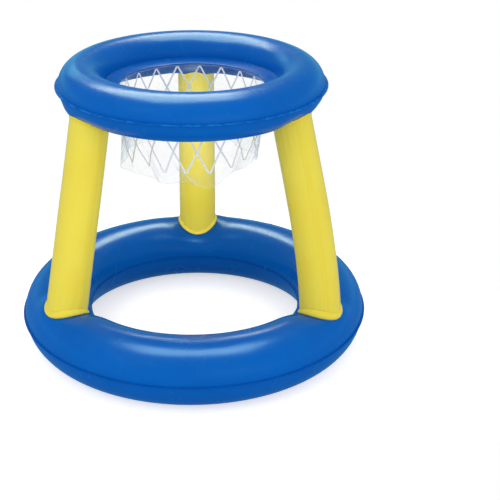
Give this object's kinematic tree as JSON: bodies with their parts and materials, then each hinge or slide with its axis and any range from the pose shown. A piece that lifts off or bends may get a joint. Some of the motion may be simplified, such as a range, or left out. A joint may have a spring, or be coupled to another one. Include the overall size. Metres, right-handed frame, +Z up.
{
  "type": "floating basketball hoop",
  "caption": "Inflatable floating hoop: a wide base ring carries leaning legs and a smaller top ring with a clear film net and push-in air valves.",
  "frame": {"origin": "on the surface the base ring rests on, under the middle of the object's box, which is the ring's centre", "axes": "+Z up through the hoop, -Y towards the front between two legs, +X to the right seen from the front"},
  "size_m": [0.59, 0.59, 0.4885],
  "materials": {
    "blue_vinyl": "smooth calendered vinyl sheet, glossy, welded at the seams",
    "yellow_vinyl": "smooth calendered vinyl sheet, satin to glossy",
    "clear_vinyl": "thin clear vinyl film, lightly creased",
    "white_ink": "screen-printed white ink",
    "valve_vinyl": "soft moulded translucent vinyl"
  },
  "bodies": {
    "hoop": {"base_ring_upper_skin": "blue_vinyl", "base_ring_lower_skin": "blue_vinyl", "top_ring_upper_skin": "blue_vinyl", "top_ring_lower_skin": "blue_vinyl", "leg_back": "yellow_vinyl", "leg_left": "yellow_vinyl", "leg_right": "yellow_vinyl", "net_film": "clear_vinyl", "net_print": "white_ink", "base_valve_flange": "valve_vinyl", "top_valve_flange": "valve_vinyl"},
    "base_valve_stem": {"base_valve_stem": "valve_vinyl"},
    "base_valve_plug": {"base_valve_plug": "valve_vinyl"},
    "base_valve_check_flap": {"base_valve_check_flap": "valve_vinyl"},
    "top_valve_stem": {"top_valve_stem": "valve_vinyl"},
    "top_valve_plug": {"top_valve_plug": "valve_vinyl"},
    "top_valve_check_flap": {"top_valve_check_flap": "valve_vinyl"}
  },
  "joints": [
    {"name": "base_valve_stem_slide", "type": "slide", "parent": "hoop", "child": "base_valve_stem", "axis": [0.4045, 0.7006, 0.5878], "range_m": [0, 0.012]},
    {"name": "base_valve_plug_hinge", "type": "hinge", "parent": "base_valve_stem", "child": "base_valve_plug", "pos_m": [0.15606, 0.23831, 0.08946], "axis": [0.2939, 0.509, -0.809], "range_deg": [0, 150]},
    {"name": "base_valve_flap_hinge", "type": "hinge", "parent": "base_valve_stem", "child": "base_valve_check_flap", "pos_m": [0.14111, 0.22961, 0.07856], "axis": [-0.2939, -0.509, 0.809], "range_deg": [0, 40], "stiffness_Nm_per_rad": 0.00005, "springref_deg": -11.46},
    {"name": "top_valve_stem_slide", "type": "slide", "parent": "hoop", "child": "top_valve_stem", "axis": [-0.4045, 0.7006, 0.5878], "range_m": [0, 0.012]},
    {"name": "top_valve_plug_hinge", "type": "hinge", "parent": "top_valve_stem", "child": "top_valve_plug", "pos_m": [-0.09149, 0.19046, 0.47537], "axis": [-0.2939, 0.509, -0.809], "range_deg": [0, 150]},
    {"name": "top_valve_flap_hinge", "type": "hinge", "parent": "top_valve_stem", "child": "top_valve_check_flap", "pos_m": [-0.09143, 0.17316, 0.46446], "axis": [0.2939, -0.509, 0.809], "range_deg": [0, 40], "stiffness_Nm_per_rad": 0.00005, "springref_deg": -11.46}
  ]
}
